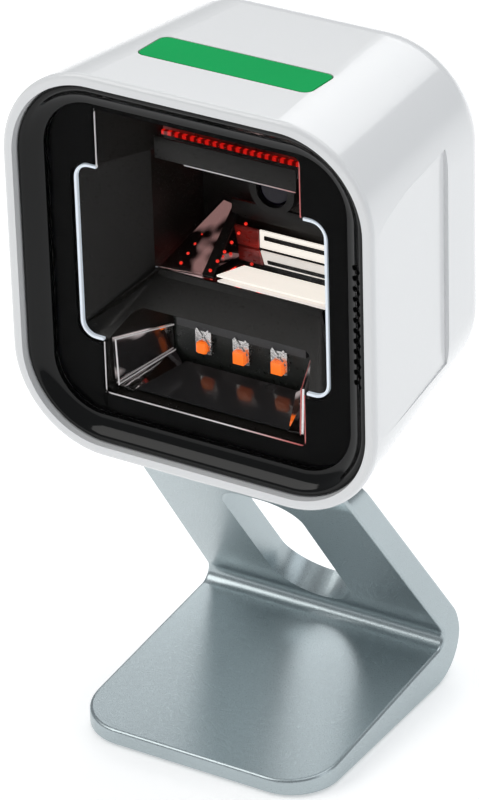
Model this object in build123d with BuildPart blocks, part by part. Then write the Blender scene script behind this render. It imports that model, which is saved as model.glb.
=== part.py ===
"""Hands-free presentation barcode scanner on a tilting cast stand, in millimetres.

X runs across the scanner, -Y is the side the window faces, Z is up and z = 0 is the counter.
Depths are measured back from the head's front rim, heights in the head from its centre.
"""

import os
from math import copysign, cos, radians, sin, tan

from build123d import *

# ---- driving dimensions: stand ------------------------------------------------------
base_width = 56.0
base_depth = 59.2
base_front_thickness = 3.9
base_rear_thickness = 9.06
base_corner = 10.5
sole_height = 0.4
heel_radius = 9.4
crease_radius = 2.5
crease_inset = 4.8
arm_angle = 54.4
arm_top_angle = 68.0
arm_thickness = 5.9
arm_top_z = 60.0
arm_top_rise = 5.41
arm_top_width = 49.8
arm_bend_radius = 12.0
arm_shoulder = 6.0
slot_width = 18.4
slot_low = 4.2
slot_high = 48.6
slot_top_corner = 7.0
stand_edge = 0.7
pad_margin = 4.0
pad_thickness = 1.2
pad_rear_y = 18.0

# ---- driving dimensions: tilt hinge and magnetic shoe -------------------------------
pin_y = 4.0
pin_z = 57.0
pin_diameter = 4.0
pin_head_diameter = 6.0
pin_head_thickness = 1.0
lug_radius = 4.4
lug_width = 5.0
barrel_width = 17.0
washer_thickness = 0.5
washer_diameter = 8.0
clip_thickness = 0.6
puck_y = -4.0
puck_diameter = 22.0
puck_bottom_z = 62.8
puck_top_z = 66.2
neck_width = 13.0
neck_depth = 6.0
magnet_diameter = 16.0
magnet_thickness = 2.4
strike_diameter = 20.0
strike_thickness = 1.3
socket_wall = 1.0
socket_roof = 2.4

# ---- driving dimensions: head -------------------------------------------------------
head_width = 81.0
head_height = 81.0
head_depth = 54.0
head_corner = 20.0
head_centre_z = 103.0
rim_y = -24.4
side_draw = 6.32
top_draw = 2.88
bottom_draw = 4.94
wall = 2.3
split_depth = 35.0
rim_round = 0.9
rear_round = 8.0
panel_start = 3.0
panel_step = 0.9
panel_low = -22.0
panel_high = 23.5
ledge_depth = 7.5
ledge_thickness = 2.0
ledge_reach = 1.5

# ---- driving dimensions: window and optics ------------------------------------------
bezel_front = 1.2
bezel_land = 0.4
pane_size = 66.0
pane_corner = 10.9
pane_depth = 3.4
pane_thickness = 1.2
mask_thickness = 0.2
gasket_width = 1.0
gasket_thickness = 1.0
tall_width = 45.0
tall_low = -29.0
tall_high = 31.5
tall_corner = 1.5
wide_width = 56.4
wide_low = -18.4
wide_high = 19.8
wide_corner = 4.0
pipe_width = 1.2
pipe_thickness = 1.4
vent_diameter = 1.1
vent_pitch = 2.17
vent_rows = 12
vent_inner_x = 34.9
vent_column_gap = 1.6
vent_centre = 1.0
chassis_width = 63.0
chassis_low = -31.0
chassis_high = 32.8
chassis_step_depth = 26.0
chassis_back_depth = 39.5
chassis_back_wall = 1.2
chassis_back_low = -29.5
chassis_back_high = 24.0
tunnel_width = 38.0
tunnel_low = -8.0
tunnel_high = 19.2
tunnel_start = 18.5
tunnel_end = 36.5
lamp_bay_width = 32.0
lamp_bay_low = -27.0
lamp_bay_high = -13.0
lamp_bay_depth = 19.5
mirror_thickness = 1.0
mirror_rise = 3.0
reflector_thickness = 0.8
board_thickness = 1.2
lamp_pitch = 8.5
lamp_height = -21.6
lamp_size = 3.6
lamp_tall = 5.0
lamp_thickness = 1.2
dome_diameter = 2.6
cover_low = -18.6
cover_width = 29.0
cover_thickness = 1.0
reflector_low = -27.0
reflector_high = -18.2
hood_width = 32.0
hood_high = 30.0
bar_height = 0.8
bar_depth = 0.8
bar_level = 22.6
diffuser_left = -4.0
diffuser_low = 12.0
diffuser_thickness = 0.6
red_size = 1.0
red_pitch = 2.6
red_columns = (-15.5, -10.5)
red_level = 13.5
lens_height = 8.0
barrel_diameter = 10.0
barrel_front = 31.0
barrel_back = 42.0
lens_diameter = 7.0
lens_thickness = 1.6

# ---- driving dimensions: status key, boards, socket and screws ----------------------
key_width = 38.0
key_length = 10.5
key_corner = 2.0
key_depth = 19.3
key_flange = 1.0
key_flange_thickness = 0.8
key_flange_top = 36.4
key_travel = 0.6
key_board_width = 34.0
key_board_length = 9.0
key_board_thickness = 0.8
switch_size = 6.0
plunger_radius = 2.0
indicator_size = 2.0
indicator_outer = 28.0
indicator_inner = 15.0
post_x = 14.0
post_inset = 3.0
post_radius = 1.6
main_board_height = 60.0
main_board_depth = 44.5
main_board_thickness = 1.6
sensor_board_width = 24.0
sensor_board_height = 20.0
socket_width = 14.0
socket_height = 12.0
socket_centre = -19.0
socket_mouth_width = 11.7
socket_mouth_height = 8.0
speaker_height = 22.0
speaker_length = 11.0
screw_up = 25.2
screw_down = -23.6
screw_diameter = 2.5
screw_head_diameter = 4.8
screw_head_height = 1.8
driver_recess = 0.9
screw_tip_depth = 28.5
screw_seat_depth = 48.5
boss_radius = 3.2
web_width = 2.4
web_length = 10.2
web_end_depth = 43.0

# ---- clearances ---------------------------------------------------------------------
running_fit = 0.03
slip_fit = 0.1
free_gap = 0.3
panel_gap = 0.1

# ---- values worked out from the sizes above ------------------------------------------
half_base = base_depth / 2
heel_corner_y = half_base + heel_radius * (1 / tan(radians(arm_angle / 2)) - 1)
crease_y = half_base - crease_inset
mask_depth = pane_depth + pane_thickness
gasket_depth = mask_depth + mask_thickness
chassis_depth = gasket_depth + gasket_thickness
barrel_end = barrel_width / 2
lug_inner = barrel_end + washer_thickness + free_gap
lug_outer = lug_inner + lug_width
strike_top_z = puck_top_z + free_gap + strike_thickness
socket_radius = puck_diameter / 2 + 2 * free_gap
key_board_top = chassis_high + key_board_thickness
key_flange_low = key_flange_top - key_flange_thickness
plunger_top = key_flange_low - key_travel - free_gap
arm_straight = (arm_top_z - arm_top_rise - base_rear_thickness) / sin(radians(arm_angle))
chassis_back_width = tunnel_width + 2 * chassis_back_wall
main_board_width = chassis_back_width - 2 * slip_fit
screw_x = chassis_back_width / 2 + 2 * slip_fit + boss_radius
speaker_end = ledge_depth + ledge_thickness + speaker_length
speaker_end_room = head_width / 2 - side_draw * speaker_end / head_depth - wall
speaker_width = speaker_end_room - free_gap - chassis_width / 2
screw_places = [(x, up) for x in (-screw_x, screw_x) for up in (screw_down, screw_up)]

os.makedirs("parts", exist_ok=True)


def depth_plane(depth):
    """Plane square to Y at a depth behind the rim: its x is X, its y is Z, and it faces the front."""
    return Plane.XZ.offset(-(rim_y + depth))


def head_outline(depth, inset):
    """The head's rounded outline at a depth, drawn in by an inset, on the current sketch."""
    share = depth / head_depth
    half_width = head_width / 2 - side_draw * share - inset
    top = head_height / 2 - top_draw * share - inset
    bottom = head_height / 2 - bottom_draw * share - inset
    with Locations((0, head_centre_z + (top - bottom) / 2)):
        RectangleRounded(2 * half_width, top + bottom, head_corner - inset)


def head_form(start, end, inset, mode=Mode.ADD):
    """The head's tapered form between two depths, drawn in by an inset."""
    sections = []
    for depth in (start, end):
        with BuildSketch(depth_plane(depth)) as section:
            head_outline(depth, inset)
        sections.append(section.sketch)
    loft(sections, ruled=True, mode=mode)


def front_box(width, low, high, start, end, mode=Mode.ADD, corner=0.0, x=0.0):
    """A block between two depths, from one head height to another, with rounded corners if asked."""
    with BuildSketch(depth_plane(start)) as section:
        with Locations((x, head_centre_z + (low + high) / 2)):
            if corner > 0:
                RectangleRounded(width, high - low, corner)
            else:
                Rectangle(width, high - low)
    extrude(section.sketch, amount=-(end - start), mode=mode)


def funnel(front, back, mode=Mode.SUBTRACT):
    """A straight-sided funnel: front and back are (depth, width, low, high, corner)."""
    sections = []
    for depth, width, low, high, corner in (front, back):
        with BuildSketch(depth_plane(depth)) as section:
            with Locations((0, head_centre_z + (low + high) / 2)):
                RectangleRounded(width, high - low, corner)
        sections.append(section.sketch)
    loft(sections, ruled=True, mode=mode)


def front_rods(places, radius, start, end, mode=Mode.ADD):
    """Round rods along Y between two depths, at (x, head height) places."""
    with BuildSketch(depth_plane(start)) as section:
        with Locations(*[(x, head_centre_z + up) for x, up in places]):
            Circle(radius)
    extrude(section.sketch, amount=-(end - start), mode=mode)


def corner_bosses(start, end, web_end):
    """Screw bosses near the head's corners, each tied to the wall by a web out towards the corner."""
    front_rods(screw_places, boss_radius, start, end)
    with BuildSketch(depth_plane(start)) as webs:
        for x, up in screw_places:
            out_x = x + copysign(web_length / 4, x)
            out_up = up + copysign(web_length / 4, up)
            with Locations((out_x, head_centre_z + out_up)):
                Rectangle(web_length, web_width, rotation=copysign(45, x * up))
    extrude(webs.sketch, amount=-(web_end - start))


def nearest(shapes, point):
    """The shape of a list that lies nearest to a point."""
    return shapes.sort_by_distance(point)[0]


def save(builder, name):
    """Label a finished piece and write its STEP file."""
    builder.part.label = name
    export_step(builder.part, f"parts/{name}.step")


# ---- stand frame ----------------------------------------------------------------------
def up_arm(y, z, length, angle):
    """The point that lies a length along a line leaning forward at an angle from level."""
    return (y - length * cos(radians(angle)), z + length * sin(radians(angle)))


crease = (crease_y, base_rear_thickness)
front_bend = up_arm(*crease, arm_straight, arm_angle)
top_run = (arm_top_z - front_bend[1]) / sin(radians(arm_top_angle))
front_top = up_arm(*front_bend, top_run, arm_top_angle)
back_width_top = arm_thickness / sin(radians(arm_top_angle))
back_top = (front_top[0] + back_width_top, arm_top_z)
bend_turn = radians(arm_top_angle - arm_angle)
bend_lean = radians((arm_top_angle + arm_angle) / 2)
bend_reach = arm_thickness / cos(bend_turn / 2)
back_bend = (front_bend[0] + bend_reach * sin(bend_lean), front_bend[1] + bend_reach * cos(bend_lean))
heel_corner = (heel_corner_y, sole_height)

with BuildPart() as stand_frame:
    with BuildSketch(Plane.YZ) as side:
        Polygon(
            (-half_base, sole_height),
            heel_corner,
            back_bend,
            back_top,
            front_top,
            front_bend,
            crease,
            (-half_base, base_front_thickness),
            align=None,
        )
        fillet(nearest(side.vertices(), (*heel_corner, 0)), heel_radius)
        fillet(nearest(side.vertices(), (*crease, 0)), crease_radius)
        fillet(nearest(side.vertices(), (*front_bend, 0)), arm_bend_radius)
        fillet(nearest(side.vertices(), (*back_bend, 0)), arm_bend_radius + arm_thickness)
    extrude(amount=base_width, both=True)
    with BuildSketch(Plane.XZ) as front:
        Polygon(
            (-base_width / 2, 0),
            (base_width / 2, 0),
            (base_width / 2, base_rear_thickness),
            (arm_top_width / 2, arm_top_z),
            (-arm_top_width / 2, arm_top_z),
            (-base_width / 2, base_rear_thickness),
            align=None,
        )
        fillet(front.vertices().group_by(Axis.Y)[-1], arm_shoulder)
    extrude(amount=base_depth, both=True, mode=Mode.INTERSECT)
    with BuildSketch(Plane.XY) as plan:
        with Locations((0, base_depth / 2)):
            Rectangle(base_width, 2 * base_depth)
        fillet(plan.vertices().group_by(Axis.Y)[0], base_corner)
    extrude(amount=2 * arm_top_z, mode=Mode.INTERSECT)
    fillet(stand_frame.edges(), stand_edge)
    # the cable slot, cut square to the arm
    arm_face = Plane(
        origin=(0, *crease),
        x_dir=(1, 0, 0),
        z_dir=(0, -sin(radians(arm_angle)), -cos(radians(arm_angle))),
    )
    with BuildSketch(arm_face.offset(stand_edge)) as slot:
        slot_centre = (slot_low + slot_high) / 2
        with Locations((0, slot_centre)):
            Rectangle(slot_width, slot_high - slot_low)
        fillet(slot.vertices().group_by(Axis.Y)[0], slot_width / 2 - slip_fit)
        fillet(slot.vertices().group_by(Axis.Y)[-1], slot_top_corner)
    extrude(amount=-(arm_thickness + 4 * stand_edge), mode=Mode.SUBTRACT)
    # two lugs on the back of the arm carry the hinge pin
    lug_places = (-lug_outer, lug_inner)
    for lug_x in lug_places:
        with BuildSketch(Plane.YZ.offset(lug_x)):
            with Locations((pin_y, pin_z)):
                Circle(lug_radius)
            with Locations((pin_y - lug_radius, pin_z)):
                Rectangle(2 * lug_radius, 2 * lug_radius - 2 * stand_edge)
        extrude(amount=lug_width)
    with BuildSketch(Plane.YZ):
        with Locations((pin_y, pin_z)):
            Circle(pin_diameter / 2)
    extrude(amount=2 * lug_outer, both=True, mode=Mode.SUBTRACT)
    # the shallow pocket under the base that takes the pad
    with BuildSketch(Plane.XY):
        with Locations((0, (pad_rear_y - half_base + pad_margin) / 2)):
            RectangleRounded(
                base_width - 2 * pad_margin,
                pad_rear_y + half_base - pad_margin,
                base_corner - pad_margin,
            )
    extrude(amount=pad_thickness, mode=Mode.SUBTRACT)
save(stand_frame, "stand_frame")

with BuildPart() as base_pad:
    with BuildSketch(Plane.XY):
        with Locations((0, (pad_rear_y - half_base + pad_margin) / 2)):
            RectangleRounded(
                base_width - 2 * pad_margin - 2 * slip_fit,
                pad_rear_y + half_base - pad_margin - 2 * slip_fit,
                base_corner - pad_margin - slip_fit,
            )
    extrude(amount=pad_thickness)
save(base_pad, "base_pad")

# ---- tilt hinge -------------------------------------------------------------------------
with BuildPart() as hinge_pin:
    with BuildSketch(Plane.YZ.offset(-lug_outer)):
        with Locations((pin_y, pin_z)):
            Circle(pin_diameter / 2)
    extrude(amount=2 * lug_outer + 2 * clip_thickness)
    with BuildSketch(Plane.YZ.offset(-lug_outer - pin_head_thickness)):
        with Locations((pin_y, pin_z)):
            Circle(pin_head_diameter / 2)
    extrude(amount=pin_head_thickness)
save(hinge_pin, "hinge_pin")

with BuildPart() as pin_clip:
    with BuildSketch(Plane.YZ.offset(lug_outer)):
        with Locations((pin_y, pin_z)):
            Circle(pin_head_diameter / 2 + clip_thickness)
            Circle(pin_diameter / 2, mode=Mode.SUBTRACT)
        with Locations((pin_y + pin_head_diameter / 2, pin_z)):
            Rectangle(pin_head_diameter, pin_diameter / 2, mode=Mode.SUBTRACT)
    extrude(amount=clip_thickness)
save(pin_clip, "pin_clip")

with BuildPart() as friction_washers:
    for washer_x in (-barrel_end - washer_thickness, barrel_end):
        with BuildSketch(Plane.YZ.offset(washer_x)):
            with Locations((pin_y, pin_z)):
                Circle(washer_diameter / 2)
                Circle(pin_diameter / 2 + slip_fit, mode=Mode.SUBTRACT)
        extrude(amount=washer_thickness)
save(friction_washers, "friction_washers")

with BuildPart() as tilt_shoe:
    with BuildSketch(Plane.YZ.offset(-barrel_end)):
        with Locations((pin_y, pin_z)):
            Circle(lug_radius)
    extrude(amount=barrel_width)
    with BuildSketch(Plane.XY.offset(pin_z)):
        with Locations((0, pin_y)):
            Rectangle(neck_width, neck_depth)
    extrude(amount=puck_bottom_z - pin_z)
    with BuildSketch(Plane.XY.offset(puck_bottom_z)):
        with Locations((0, puck_y)):
            Circle(puck_diameter / 2)
    extrude(amount=puck_top_z - puck_bottom_z)
    chamfer(tilt_shoe.edges().group_by(Axis.Z)[-1], free_gap)
    with BuildSketch(Plane.XY.offset(puck_top_z)):
        with Locations((0, puck_y)):
            Circle(magnet_diameter / 2 + slip_fit)
    extrude(amount=-magnet_thickness, mode=Mode.SUBTRACT)
    with BuildSketch(Plane.YZ):
        with Locations((pin_y, pin_z)):
            Circle(pin_diameter / 2 + running_fit)
    extrude(amount=barrel_width, both=True, mode=Mode.SUBTRACT)
save(tilt_shoe, "tilt_shoe")

with BuildPart() as shoe_magnet:
    with BuildSketch(Plane.XY.offset(puck_top_z - magnet_thickness)):
        with Locations((0, puck_y)):
            Circle(magnet_diameter / 2)
    extrude(amount=magnet_thickness)
save(shoe_magnet, "shoe_magnet")

# ---- head shells ------------------------------------------------------------------------
def panel_wedges():
    """Cut the shallow side panels, which deepen from nothing near the rim to a step at the split."""
    for side_sign in (-1, 1):
        front_x = head_width / 2 - side_draw * panel_start / head_depth
        back_x = head_width / 2 - side_draw * split_depth / head_depth
        with BuildSketch(Plane.XY.offset(head_centre_z + panel_low)) as wedge:
            Polygon(
                (side_sign * front_x, rim_y + panel_start),
                (side_sign * (back_x - panel_step), rim_y + split_depth),
                (side_sign * head_width, rim_y + split_depth),
                (side_sign * head_width, rim_y + panel_start),
                align=None,
            )
        extrude(wedge.sketch, amount=panel_high - panel_low, mode=Mode.SUBTRACT)


with BuildPart() as front_shell:
    head_form(0, split_depth, 0)
    fillet(front_shell.faces().sort_by(Axis.Y)[0].edges(), rim_round)
    head_form(0, ledge_depth, wall, Mode.SUBTRACT)
    head_form(ledge_depth, ledge_depth + ledge_thickness, wall + ledge_reach, Mode.SUBTRACT)
    head_form(ledge_depth + ledge_thickness, split_depth, wall, Mode.SUBTRACT)
    panel_wedges()
    # the cup under the head that takes the shoe
    with BuildSketch(Plane.XY.offset(head_centre_z - head_height / 2 + bottom_draw / 2)):
        with Locations((0, puck_y)):
            Circle(socket_radius + socket_wall)
    extrude(amount=strike_top_z + socket_roof - head_centre_z + head_height / 2 - bottom_draw / 2)
    with BuildSketch(Plane.XY.offset(head_centre_z - head_height / 2)):
        with Locations((0, puck_y)):
            Circle(socket_radius)
    extrude(amount=strike_top_z - head_centre_z + head_height / 2, mode=Mode.SUBTRACT)
    with BuildSketch(Plane.XY.offset(strike_top_z)):
        with Locations((0, puck_y)):
            Circle(screw_diameter / 2)
    extrude(amount=socket_roof, mode=Mode.SUBTRACT)
    # the opening that the status key works in
    with BuildSketch(Plane.XY.offset(head_centre_z + key_flange_top)):
        with Locations((0, rim_y + key_depth)):
            RectangleRounded(key_width, key_length, key_corner)
    extrude(amount=head_height, mode=Mode.SUBTRACT)
    # screw bosses in the corners
    corner_bosses(screw_tip_depth - panel_gap, split_depth, split_depth)
    front_rods(screw_places, screw_diameter / 2, screw_tip_depth, split_depth, Mode.SUBTRACT)
save(front_shell, "front_shell")

with BuildPart() as cover_hollow:
    head_form(split_depth, head_depth - wall, wall)
    fillet(cover_hollow.faces().sort_by(Axis.Y)[-1].edges(), rear_round - wall)

with BuildPart() as rear_cover:
    head_form(split_depth, head_depth, 0)
    fillet(rear_cover.faces().sort_by(Axis.Y)[-1].edges(), rear_round)
    add(cover_hollow.part, mode=Mode.SUBTRACT)
    corner_bosses(split_depth, screw_seat_depth + wall, web_end_depth)
    front_rods(screw_places, screw_diameter / 2 + slip_fit, split_depth, head_depth, Mode.SUBTRACT)
    head_radius = screw_head_diameter / 2 + slip_fit
    front_rods(screw_places, head_radius, screw_seat_depth, head_depth + wall, Mode.SUBTRACT)
    front_box(
        socket_width + 2 * slip_fit,
        socket_centre - socket_height / 2 - slip_fit,
        socket_centre + socket_height / 2 + slip_fit,
        head_depth - 2 * wall,
        head_depth + wall,
        Mode.SUBTRACT,
    )
save(rear_cover, "rear_cover")

with BuildPart() as cover_screws:
    front_rods(screw_places, screw_diameter / 2, screw_tip_depth, screw_seat_depth)
    head_end = screw_seat_depth + screw_head_height
    front_rods(screw_places, screw_head_diameter / 2, screw_seat_depth, head_end)
    recess_start = head_end - driver_recess
    front_rods(screw_places, driver_recess, recess_start, head_end, Mode.SUBTRACT)
save(cover_screws, "cover_screws")

with BuildPart() as strike_plate:
    with BuildSketch(Plane.XY.offset(strike_top_z - strike_thickness)):
        with Locations((0, puck_y)):
            Circle(strike_diameter / 2)
    extrude(amount=strike_thickness)
    with Locations(Plane((0, puck_y, strike_top_z - strike_thickness), z_dir=(0, 0, -1))):
        CounterSinkHole(screw_diameter / 2 + slip_fit, screw_head_diameter / 2)
save(strike_plate, "strike_plate")

with BuildPart() as strike_screw:
    with BuildSketch(Plane.XY.offset(strike_top_z - strike_thickness)):
        with Locations((0, puck_y)):
            Circle(screw_head_diameter / 2 - slip_fit)
    extrude(amount=strike_thickness, taper=40)
    with BuildSketch(Plane.XY.offset(strike_top_z - strike_thickness)):
        with Locations((0, puck_y)):
            Circle(screw_diameter / 2)
    extrude(amount=strike_thickness + socket_roof)
save(strike_screw, "strike_screw")

# ---- window -----------------------------------------------------------------------------
half_pane = pane_size / 2
bore_size = pane_size + 2 * slip_fit
bore_corner = pane_corner + slip_fit
funnel_inset = wall + panel_gap + bezel_land
funnel_half = head_width / 2 - side_draw * bezel_front / head_depth - funnel_inset
vent_places = [
    (vent_inner_x + column * vent_column_gap, vent_centre + (row - (vent_rows - 1) / 2) * vent_pitch)
    for column in range(2)
    for row in range(vent_rows)
]

with BuildPart() as bezel_ring:
    head_form(bezel_front, ledge_depth, wall + panel_gap)
    funnel(
        (bezel_front, 2 * funnel_half, -funnel_half, funnel_half, head_corner - funnel_inset),
        (pane_depth, bore_size, -bore_size / 2, bore_size / 2, bore_corner),
    )
    funnel(
        (pane_depth, bore_size, -bore_size / 2, bore_size / 2, bore_corner),
        (ledge_depth, bore_size, -bore_size / 2, bore_size / 2, bore_corner),
    )
    front_rods(vent_places, vent_diameter / 2, 0, ledge_depth, Mode.SUBTRACT)
save(bezel_ring, "bezel_ring")

with BuildPart() as window_pane:
    front_box(pane_size, -half_pane, half_pane, pane_depth, mask_depth, corner=pane_corner)
save(window_pane, "window_pane")

with BuildPart() as window_mask:
    front_box(pane_size, -half_pane, half_pane, mask_depth, gasket_depth, corner=pane_corner)
    front_box(
        tall_width, tall_low, tall_high, mask_depth, gasket_depth, Mode.SUBTRACT, tall_corner
    )
    front_box(
        wide_width, wide_low, wide_high, mask_depth, gasket_depth, Mode.SUBTRACT, wide_corner
    )
save(window_mask, "window_mask")

with BuildPart() as window_gasket:
    front_box(pane_size, -half_pane, half_pane, gasket_depth, chassis_depth, corner=pane_corner)
    inner_half = half_pane - gasket_width
    inner_corner = pane_corner - gasket_width
    front_box(
        2 * inner_half, -inner_half, inner_half, gasket_depth, chassis_depth, Mode.SUBTRACT, inner_corner
    )
save(window_gasket, "window_gasket")

with BuildPart() as light_pipes:
    pipe_front = gasket_depth + panel_gap
    pipe_back = pipe_front + pipe_thickness
    front_box(wide_width, wide_low, wide_high, pipe_front, pipe_back, corner=wide_corner)
    front_box(
        wide_width - 2 * pipe_width,
        wide_low + pipe_width,
        wide_high - pipe_width,
        pipe_front,
        pipe_back,
        Mode.SUBTRACT,
        wide_corner - pipe_width,
    )
    front_box(tall_width, wide_low, wide_high, pipe_front, pipe_back, Mode.SUBTRACT)
save(light_pipes, "light_pipes")

# ---- optics chassis -----------------------------------------------------------------------
with BuildPart() as optics_chassis:
    front_box(pane_size, -half_pane, half_pane, chassis_depth, ledge_depth, corner=pane_corner)
    front_box(
        chassis_width, chassis_low, chassis_high, ledge_depth, chassis_step_depth, corner=pane_corner
    )
    front_box(
        chassis_back_width,
        chassis_back_low,
        chassis_back_high,
        chassis_step_depth,
        chassis_back_depth,
    )
    # side wings of the upper chamber, its tall middle, and the tunnel behind them
    funnel(
        (chassis_depth, wide_width, wide_low, wide_high, wide_corner),
        (tunnel_start, tunnel_width, tunnel_low, tunnel_high, tall_corner),
    )
    funnel(
        (chassis_depth, tall_width, lamp_bay_high, tall_high, tall_corner),
        (tunnel_start, hood_width, tunnel_low, hood_high, tall_corner),
    )
    front_box(tunnel_width, tunnel_low, tunnel_high, tunnel_start, tunnel_end, Mode.SUBTRACT)
    # the lamp bay below
    funnel(
        (chassis_depth, tall_width, tall_low, lamp_bay_high, tall_corner),
        (lamp_bay_depth, lamp_bay_width, lamp_bay_low, lamp_bay_high, tall_corner),
    )
    front_box(
        lamp_bay_width,
        lamp_bay_low,
        lamp_bay_high,
        lamp_bay_depth,
        lamp_bay_depth + board_thickness,
        Mode.SUBTRACT,
    )
    # pocket for the light pipes' backs and the hole for the lens barrel
    front_box(
        wide_width, wide_low, wide_high, chassis_depth, pipe_back, Mode.SUBTRACT, wide_corner
    )
    front_rods(
        [(0, lens_height)],
        barrel_diameter / 2 + slip_fit,
        tunnel_end,
        chassis_back_depth,
        Mode.SUBTRACT,
    )
save(optics_chassis, "optics_chassis")

with BuildPart() as fold_mirror:
    low = head_centre_z + tunnel_low
    with BuildSketch(Plane.YZ.offset(-tunnel_width / 2 + slip_fit)):
        Polygon(
            (rim_y + tunnel_start, low),
            (rim_y + tunnel_end - lens_thickness, low),
            (rim_y + tunnel_end - lens_thickness, low + mirror_rise + mirror_thickness),
            (rim_y + tunnel_start, low + mirror_thickness),
            align=None,
        )
    extrude(amount=tunnel_width - 2 * slip_fit)
save(fold_mirror, "fold_mirror")

for side_name, side_sign in (("side_reflector_left", -1), ("side_reflector_right", 1)):
    with BuildPart() as side_reflector:
        with BuildSketch(Plane.XY.offset(head_centre_z + reflector_low + tall_corner)):
            front_x = tall_width / 2 - tall_corner
            back_x = lamp_bay_width / 2 - slip_fit
            back_y = rim_y + lamp_bay_depth
            Polygon(
                (side_sign * front_x, rim_y + pipe_back),
                (side_sign * (front_x - reflector_thickness), rim_y + pipe_back),
                (side_sign * (back_x - reflector_thickness), back_y),
                (side_sign * back_x, back_y),
                align=None,
            )
        extrude(amount=reflector_high - reflector_low - tall_corner)
    save(side_reflector, side_name)

with BuildPart() as led_board:
    front_box(
        lamp_bay_width - 2 * slip_fit,
        lamp_bay_low + slip_fit,
        lamp_bay_high - slip_fit,
        lamp_bay_depth,
        lamp_bay_depth + board_thickness,
    )
save(led_board, "led_board")

lamp_places = [(step * lamp_pitch, lamp_height) for step in (-1, 0, 1)]
with BuildPart() as led_packages:
    with BuildSketch(depth_plane(lamp_bay_depth)):
        with Locations(*[(x, head_centre_z + up) for x, up in lamp_places]):
            Rectangle(lamp_size, lamp_tall)
    extrude(amount=lamp_thickness)
save(led_packages, "led_packages")

with BuildPart() as led_domes:
    front_rods(
        lamp_places,
        dome_diameter / 2,
        lamp_bay_depth - lamp_thickness - dome_diameter / 2,
        lamp_bay_depth - lamp_thickness,
    )
    fillet(led_domes.edges().group_by(Axis.Y)[0], dome_diameter / 2 - slip_fit)
save(led_domes, "led_domes")

with BuildPart() as led_cover:
    cover_high = lamp_bay_high - slip_fit
    front_box(cover_width, cover_low, cover_high, lamp_bay_depth - cover_thickness, lamp_bay_depth)
save(led_cover, "led_cover")

with BuildPart() as light_bar:
    front_box(
        hood_width - 2 * slip_fit,
        bar_level - bar_height / 2,
        bar_level + bar_height / 2,
        tunnel_start - bar_depth,
        tunnel_start,
    )
save(light_bar, "light_bar")

with BuildPart() as diffuser_panel:
    panel_right = tunnel_width / 2 - slip_fit
    front_box(
        panel_right - diffuser_left,
        diffuser_low,
        tunnel_high - slip_fit,
        tunnel_end - diffuser_thickness,
        tunnel_end,
        x=(panel_right + diffuser_left) / 2,
    )
    front_rods(
        [(0, lens_height)],
        barrel_diameter / 2 + slip_fit,
        tunnel_end - diffuser_thickness,
        tunnel_end,
        Mode.SUBTRACT,
    )
save(diffuser_panel, "diffuser_panel")

with BuildPart() as red_leds:
    with BuildSketch(depth_plane(tunnel_end)):
        for column_x in red_columns:
            with Locations((column_x, head_centre_z + red_level)):
                with GridLocations(0, red_pitch, 1, 4):
                    Rectangle(red_size, red_size)
    extrude(amount=red_size)
save(red_leds, "red_leds")

with BuildPart() as lens_barrel:
    front_rods([(0, lens_height)], barrel_diameter / 2, barrel_front, barrel_back)
    front_rods([(0, lens_height)], lens_diameter / 2, barrel_front, barrel_back, Mode.SUBTRACT)
save(lens_barrel, "lens_barrel")

with BuildPart() as camera_lens:
    lens_front = barrel_front + lens_thickness / 2
    front_rods([(0, lens_height)], lens_diameter / 2, lens_front, lens_front + lens_thickness)
    fillet(camera_lens.edges().group_by(Axis.Y)[0], lens_thickness / 2)
save(camera_lens, "camera_lens")

with BuildPart() as sensor_board:
    front_box(
        sensor_board_width,
        lens_height - sensor_board_height / 2,
        lens_height + sensor_board_height / 2,
        barrel_back,
        barrel_back + board_thickness,
    )
save(sensor_board, "sensor_board")

with BuildPart() as main_board:
    front_box(
        main_board_width,
        -main_board_height / 2,
        main_board_height / 2,
        main_board_depth,
        main_board_depth + main_board_thickness,
    )
save(main_board, "main_board")

with BuildPart() as board_posts:
    post_ups = (chassis_back_low + post_inset, chassis_back_high - post_inset)
    post_places = [(x, up) for x in (-post_x, post_x) for up in post_ups]
    front_rods(post_places, post_radius, chassis_back_depth, main_board_depth)
save(board_posts, "board_posts")

with BuildPart() as cable_socket:
    socket_start = main_board_depth + main_board_thickness
    socket_low = socket_centre - socket_height / 2
    socket_high = socket_centre + socket_height / 2
    front_box(socket_width, socket_low, socket_high, socket_start, head_depth)
    front_box(
        socket_mouth_width,
        socket_centre - socket_mouth_height / 2,
        socket_centre + socket_mouth_height / 2,
        socket_start + board_thickness,
        head_depth,
        Mode.SUBTRACT,
    )
save(cable_socket, "cable_socket")

with BuildPart() as speaker:
    front_box(
        speaker_width,
        vent_centre - speaker_height / 2,
        vent_centre + speaker_height / 2,
        ledge_depth + ledge_thickness,
        speaker_end,
        x=chassis_width / 2 + speaker_width / 2,
    )
save(speaker, "speaker")

# ---- status key ---------------------------------------------------------------------------
with BuildPart() as head_solid:
    head_form(0, split_depth, 0)

with BuildPart() as status_key:
    with BuildSketch(Plane.XY.offset(head_centre_z + key_flange_low)):
        with Locations((0, rim_y + key_depth)):
            RectangleRounded(
                key_width - 2 * free_gap, key_length - 2 * free_gap, key_corner - free_gap
            )
    extrude(amount=head_height)
    add(head_solid.part, mode=Mode.INTERSECT)
    with BuildSketch(Plane.XY.offset(head_centre_z + key_flange_low)):
        with Locations((0, rim_y + key_depth)):
            RectangleRounded(
                key_width + 2 * key_flange, key_length + 2 * key_flange, key_corner + key_flange
            )
    extrude(amount=key_flange_thickness - free_gap)
save(status_key, "status_key")

with BuildPart() as key_board:
    with BuildSketch(Plane.XY.offset(head_centre_z + chassis_high)):
        with Locations((0, rim_y + key_depth)):
            Rectangle(key_board_width, key_board_length)
    extrude(amount=key_board_thickness)
save(key_board, "key_board")

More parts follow.
